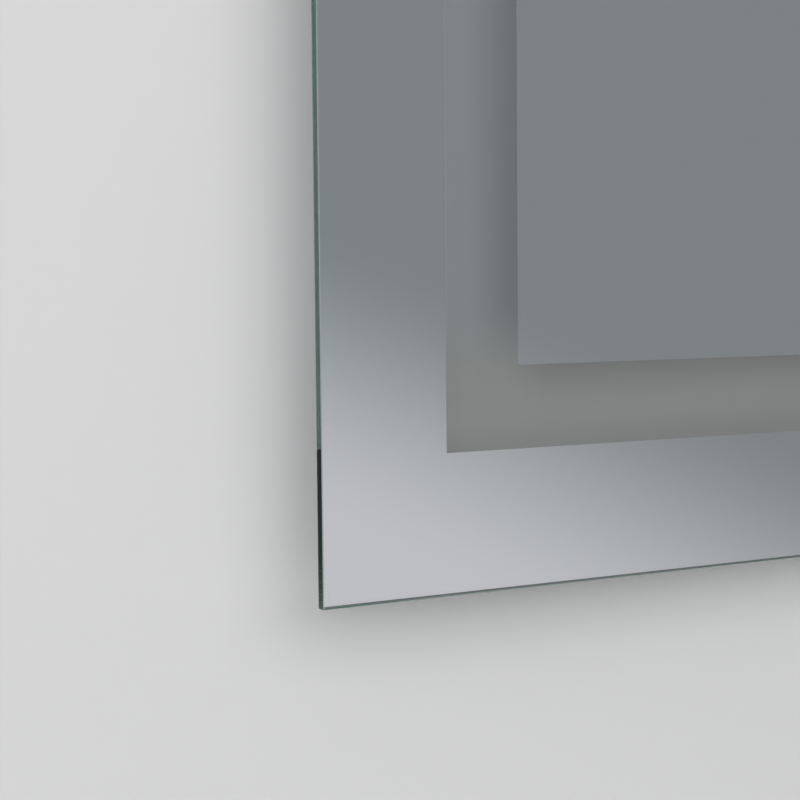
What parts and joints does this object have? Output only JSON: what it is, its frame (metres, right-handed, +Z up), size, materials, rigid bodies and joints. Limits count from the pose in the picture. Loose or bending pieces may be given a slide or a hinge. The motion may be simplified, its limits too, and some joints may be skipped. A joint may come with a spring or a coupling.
{
  "type": "lighted bathroom mirror",
  "caption": "Frameless wall mirror with a sandblasted band lit by an inset aluminium light frame, hooked on a folded wall rail, with a rocker switch under the frame.",
  "frame": {"origin": "midway between the wall rail's two screw slots, on the wall's surface", "axes": "+X right as seen from the front, +Y into the wall, +Z up; the glass faces -Y"},
  "size_m": [0.6, 0.0394, 0.8],
  "materials": {
    "clear_glass": "polished float glass with a faint green edge",
    "silver_coat": "silvered face with grey backing paint",
    "frame_aluminium": "mill extruded",
    "foam": "white closed cell foam",
    "board_white": "white solder mask",
    "chip_phosphor": "yellow phosphor",
    "key_casting": "die cast",
    "galvanised_sheet": "galvanised sheet",
    "black_rubber": "matt",
    "heater_film": "amber film over a foil track",
    "white_moulding": "satin moulding",
    "circuit_board": "populated circuit board",
    "grey_moulding": "fine texture",
    "clear_nylon": "natural nylon",
    "switch_plastic": "satin",
    "contact_brass": "plain",
    "zinc_plate": "bright zinc plate",
    "lead_black": "black sheath"
  },
  "bodies": {
    "wall_mount": {"wall_rail": "galvanised_sheet"},
    "mirror_unit": {"mirror_glass": "clear_glass", "silver_backing": "silver_coat", "frame_rail_bottom": "frame_aluminium", "frame_rail_left": "frame_aluminium", "frame_rail_top": "frame_aluminium", "frame_rail_right": "frame_aluminium", "foam_tape_bottom": "foam", "foam_tape_left": "foam", "foam_tape_top": "foam", "foam_tape_right": "foam", "light_board_bottom": "board_white", "light_board_left": "board_white", "light_board_top": "board_white", "light_board_right": "board_white", "light_chips_bottom": "chip_phosphor", "light_chips_left": "chip_phosphor", "light_chips_top": "chip_phosphor", "light_chips_right": "chip_phosphor", "corner_key_bottom_left": "key_casting", "corner_key_top_left": "key_casting", "corner_key_top_right": "key_casting", "corner_key_bottom_right": "key_casting", "back_cover": "galvanised_sheet", "hanger_rail": "galvanised_sheet", "wall_bumpers": "black_rubber", "cable_grommet": "black_rubber", "demister_pad": "heater_film", "driver_tray": "white_moulding", "driver_lid": "white_moulding", "cord_clamp": "white_moulding", "lead_clips": "white_moulding", "switch_housing": "white_moulding", "driver_board": "circuit_board", "terminal_box": "grey_moulding", "terminal_box_lid": "grey_moulding", "terminal_block": "clear_nylon", "switch_body": "switch_plastic", "switch_blades": "contact_brass", "earth_screw": "contact_brass", "cover_screws": "zinc_plate", "hanger_screws": "zinc_plate", "driver_screws": "zinc_plate", "terminal_box_screws": "zinc_plate", "housing_screws": "zinc_plate", "lead_to_lights": "lead_black", "lead_to_driver": "lead_black", "lead_to_demister": "lead_black", "lead_to_switch": "lead_black", "light_jumper_bottom_left": "lead_black", "light_jumper_top_left": "lead_black", "light_jumper_top_right": "lead_black"},
    "rocker": {"switch_rocker": "switch_plastic"}
  },
  "joints": [
    {"name": "lift_off", "type": "slide", "parent": "wall_mount", "child": "mirror_unit", "axis": [0, 0, 1], "range_m": [0, 0.012]},
    {"name": "rocker_tilt", "type": "hinge", "parent": "mirror_unit", "child": "rocker", "pos_m": [0.15, -0.0202, -0.685], "axis": [0, 1, 0], "range_deg": [0, 20]}
  ]
}
